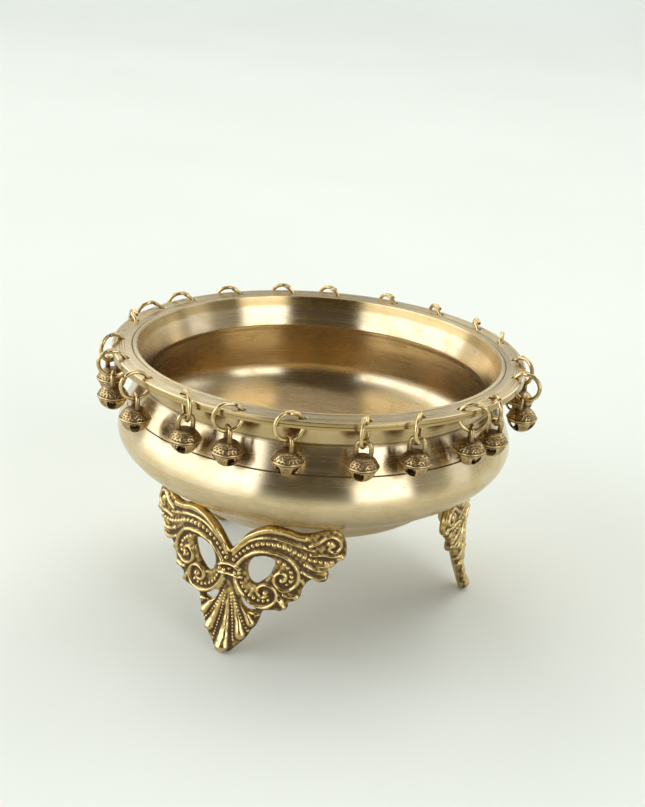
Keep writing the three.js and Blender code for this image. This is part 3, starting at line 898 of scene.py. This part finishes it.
def leg_flat():
    """The flat leg: its points (X, Y and height over the plate's middle), faces and dirt."""
    xs = np.arange(-LEG_HALF_WIDTH, LEG_HALF_WIDTH + LEG_GRID / 2, LEG_GRID)
    ys = np.arange(LEG_FOOT, LEG_TOP, LEG_GRID)
    x, y = np.meshgrid(xs, ys, indexing="ij")
    distance = outline_distance(np.abs(x), y)
    slope_x, slope_y = np.gradient(distance, LEG_GRID)
    relief = leg_relief(x, y)
    relief = 0.45 * relief + 0.55 * blurred(relief, 1) + cast_lumps(x.shape)
    sunk = blurred(relief, 4) - relief
    cavity = np.clip(eased(sunk, -0.35, 0.75) + 0.1, 0, 1)
    inner = distance < 0
    cell = inner[:-1, :-1] | inner[1:, :-1] | inner[:-1, 1:] | inner[1:, 1:]
    used = np.zeros(x.shape, bool)
    for dx, dy in ((0, 0), (1, 0), (0, 1), (1, 1)):
        used[dx:used.shape[0] - 1 + dx, dy:used.shape[1] - 1 + dy] |= cell
    size = np.maximum(np.hypot(slope_x, slope_y), 0.2)
    push = np.where(distance > 0, distance, 0) / size**2
    px, py = x - push * slope_x, y - push * slope_y
    inwards = np.clip(-distance, 0, None)
    front = LEG_EDGE + (relief + LEG_FACE_LIFT) * rounded(inwards / LEG_FACE_ROUND)
    back = LEG_EDGE + (LEG_BACK - LEG_EDGE) * rounded(inwards / LEG_BACK_ROUND)
    index = np.full(x.shape, -1)
    index[used] = np.arange(used.sum())
    total = int(used.sum())
    i, j = np.nonzero(cell)
    quad = np.stack([index[i, j], index[i + 1, j], index[i + 1, j + 1], index[i, j + 1]], 1)
    edges = np.vstack([quad[:, [0, 1]], quad[:, [1, 2]], quad[:, [2, 3]], quad[:, [3, 0]]])
    known = set(map(tuple, edges.tolist()))
    rim = [edge for edge in known if (edge[1], edge[0]) not in known]
    faces = quad.tolist() + (quad[:, ::-1] + total).tolist()
    faces += [[b, a, a + total, b + total] for a, b in sorted(rim)]
    front_points = np.stack([px[used], py[used], front[used]], 1)
    back_points = np.stack([px[used], py[used], back[used] - 0.02], 1)
    dirt = np.concatenate([cavity[used], np.full(total, 0.45)])
    return np.vstack([front_points, back_points]), faces, dirt


def belly_height(radius):
    """Height of the bowl's underside at a radius."""
    line = belly_curve(0, 40)
    line = line[: int(np.argmax(line[:, 0]))]
    return np.interp(radius, line[:, 0], line[:, 1])


def make_legs():
    flat, faces, cavity = leg_flat()
    lean = np.clip(1 - flat[:, 1] / LEG_FLARE_FROM, 0, None) ** LEG_FLARE_POWER * LEG_FLARE
    radius = LEG_RADIUS + flat[:, 2] + lean
    height = np.clip(np.minimum(flat[:, 1], belly_height(radius) + 0.15), 0, None)
    angle = flat[:, 0] / LEG_RADIUS
    for name in ("front", "right", "rear"):
        foot = MOUNTS[f"foot_{name}"]["pos_m"]
        turn = angle + math.atan2(foot[1], foot[0])
        points = np.stack([radius * np.cos(turn), radius * np.sin(turn), height], 1)
        leg = object_of(f"leg_{name}_cast", points, faces, LEG_BRASS, cavity)
        smooth(leg, 75)
        settle(leg, "urli", f"leg_{name}")


make_bowl()
for ring_number in NUMBERS:
    make_ring(ring_number)
shell_pattern = bell_pattern()
for bell_number, bell_turn in zip(NUMBERS, SLOT_TURNS):
    make_bell(bell_number, shell_pattern, bell_turn)
make_legs()

# ---- studio ----

# The floor, in metres: how far it reaches, where it starts to rise, and the radius of that rise.
FLOOR_REACH = 6
RISE_FROM = 3
RISE_RADIUS = 1.5
FLOOR_COLUMNS = 13


def make_floor():
    """A wide floor that rises gently far behind."""
    rise = np.radians(np.arange(6, 91, 6))
    ys = np.concatenate([np.linspace(-FLOOR_REACH, RISE_FROM, 10), RISE_FROM + RISE_RADIUS * np.sin(rise)])
    zs = np.concatenate([np.zeros(10), RISE_RADIUS - RISE_RADIUS * np.cos(rise)])
    xs = np.linspace(-FLOOR_REACH, FLOOR_REACH, FLOOR_COLUMNS)
    points = [[x / MM, y / MM, z / MM] for y, z in zip(ys, zs) for x in xs]
    n = FLOOR_COLUMNS
    faces = [[r * n + c, r * n + c + 1, (r + 1) * n + c + 1, (r + 1) * n + c]
             for r in range(len(ys) - 1) for c in range(n - 1)]
    floor = object_of("floor", points, faces, FLOOR_PAINT)
    smooth(floor)


def area_light(name, place, target, size, power, color):
    data = bpy.data.lights.new(name, "AREA")
    data.shape = "RECTANGLE"
    data.size, data.size_y = size
    data.energy = power
    data.color = color
    light = bpy.data.objects.new(name, data)
    bpy.context.scene.collection.objects.link(light)
    light.location = place
    light.rotation_euler = (Vector(target) - Vector(place)).to_track_quat("-Z", "Y").to_euler()


# Bright and dark parts of the room, as they show in the brass: degrees to the right of the camera's side
# (low, high), degrees over the horizon (low, high), softness in degrees, and colour.
ROOM_PARTS = [((-180, 180), (60, 95), 12, (0.80, 0.82, 0.79)),
              ((-170, -116), (12, 62), 10, (2.10, 2.15, 2.15)),
              ((112, 168), (12, 62), 10, (1.90, 1.95, 1.95)),
              ((-64, 64), (-95, 80), 12, (0.085, 0.07, 0.05)),
              ((-112, -29), (-8, 44), 7, (2.60, 2.80, 3.15)),
              ((25, 58), (-8, 40), 6, (2.80, 3.00, 3.35)),
              ((84, 102), (-2, 44), 8, (1.20, 1.28, 1.42))]
ROOM_TONE = (0.36, 0.37, 0.36, 1)


def make_world():
    """A pale room with a dark side behind the camera, a lit ceiling, and windows to the left and right."""
    world = bpy.data.worlds.new("room")
    world.use_nodes = True
    bpy.context.scene.world = world
    tree = world.node_tree

    def calculate(operation, *values):
        node = tree.nodes.new("ShaderNodeMath")
        node.operation = operation
        for value, socket in zip(values, node.inputs):
            if isinstance(value, (int, float)):
                socket.default_value = value
            else:
                tree.links.new(value, socket)
        return node.outputs[0]

    def step(value, low, high):
        node = tree.nodes.new("ShaderNodeMapRange")
        node.interpolation_type = "SMOOTHSTEP"
        tree.links.new(value, node.inputs["Value"])
        node.inputs["From Min"].default_value = low
        node.inputs["From Max"].default_value = high
        return node.outputs["Result"]

    def within(value, low, high, soft):
        rise = step(value, low - soft / 2, low + soft / 2)
        fall = step(value, high - soft / 2, high + soft / 2)
        return calculate("MULTIPLY", rise, calculate("SUBTRACT", 1.0, fall))

    coordinates = tree.nodes.new("ShaderNodeTexCoord")
    split = tree.nodes.new("ShaderNodeSeparateXYZ")
    tree.links.new(coordinates.outputs["Generated"], split.inputs[0])
    x, y, z = split.outputs
    side = calculate("MULTIPLY", calculate("ARCTAN2", x, calculate("MULTIPLY", y, -1.0)), 180 / math.pi)
    height = calculate("MULTIPLY", calculate("ARCSINE", z), 180 / math.pi)
    color = ROOM_TONE
    for (left, right), (low, high), soft, tone in ROOM_PARTS:
        share = within(height, low, high, soft)
        if right - left < 360:
            share = calculate("MULTIPLY", share, within(side, left, right, soft))
        mix = tree.nodes.new("ShaderNodeMix")
        mix.data_type = "RGBA"
        mix.clamp_result = False
        tree.links.new(share, mix.inputs["Factor"])
        if isinstance(color, tuple):
            mix.inputs["A"].default_value = color
        else:
            tree.links.new(color, mix.inputs["A"])
        mix.inputs["B"].default_value = (*tone, 1)
        color = mix.outputs["Result"]
    background = tree.nodes["Background"]
    tree.links.new(color, background.inputs["Color"])
    background.inputs["Strength"].default_value = 1.0


# The camera's place in metres, its lens, and its directions to the right and upwards in the picture.
CAMERA_PLACE = (0, -0.82544, 0.43145)
CAMERA_LENS = 63.8
CAMERA_RIGHT = Vector((0.99741883, 0.0206014, 0.06878415))
CAMERA_UP = Vector((-0.07164683, 0.34870869, 0.93448862))


def make_camera():
    """The camera stands in front, above the rim, and is rolled slightly."""
    data = bpy.data.cameras.new("camera")
    data.lens = CAMERA_LENS
    data.sensor_width = 36
    data.clip_end = 50
    camera = bpy.data.objects.new("camera", data)
    bpy.context.scene.collection.objects.link(camera)
    back = CAMERA_RIGHT.cross(CAMERA_UP).normalized()
    turn = Matrix((CAMERA_RIGHT, CAMERA_UP, back)).transposed().to_4x4()
    camera.matrix_world = Matrix.Translation(CAMERA_PLACE) @ turn
    bpy.context.scene.camera = camera


make_floor()
make_world()
make_camera()
AIM = (0, 0, 0.1)
area_light("key", (0.2, 0.5, 3.6), AIM, (1.8, 1.8), 14, (1.0, 0.99, 0.96))

scene = bpy.context.scene
scene.view_settings.view_transform = "Standard"
scene.view_settings.look = "None"
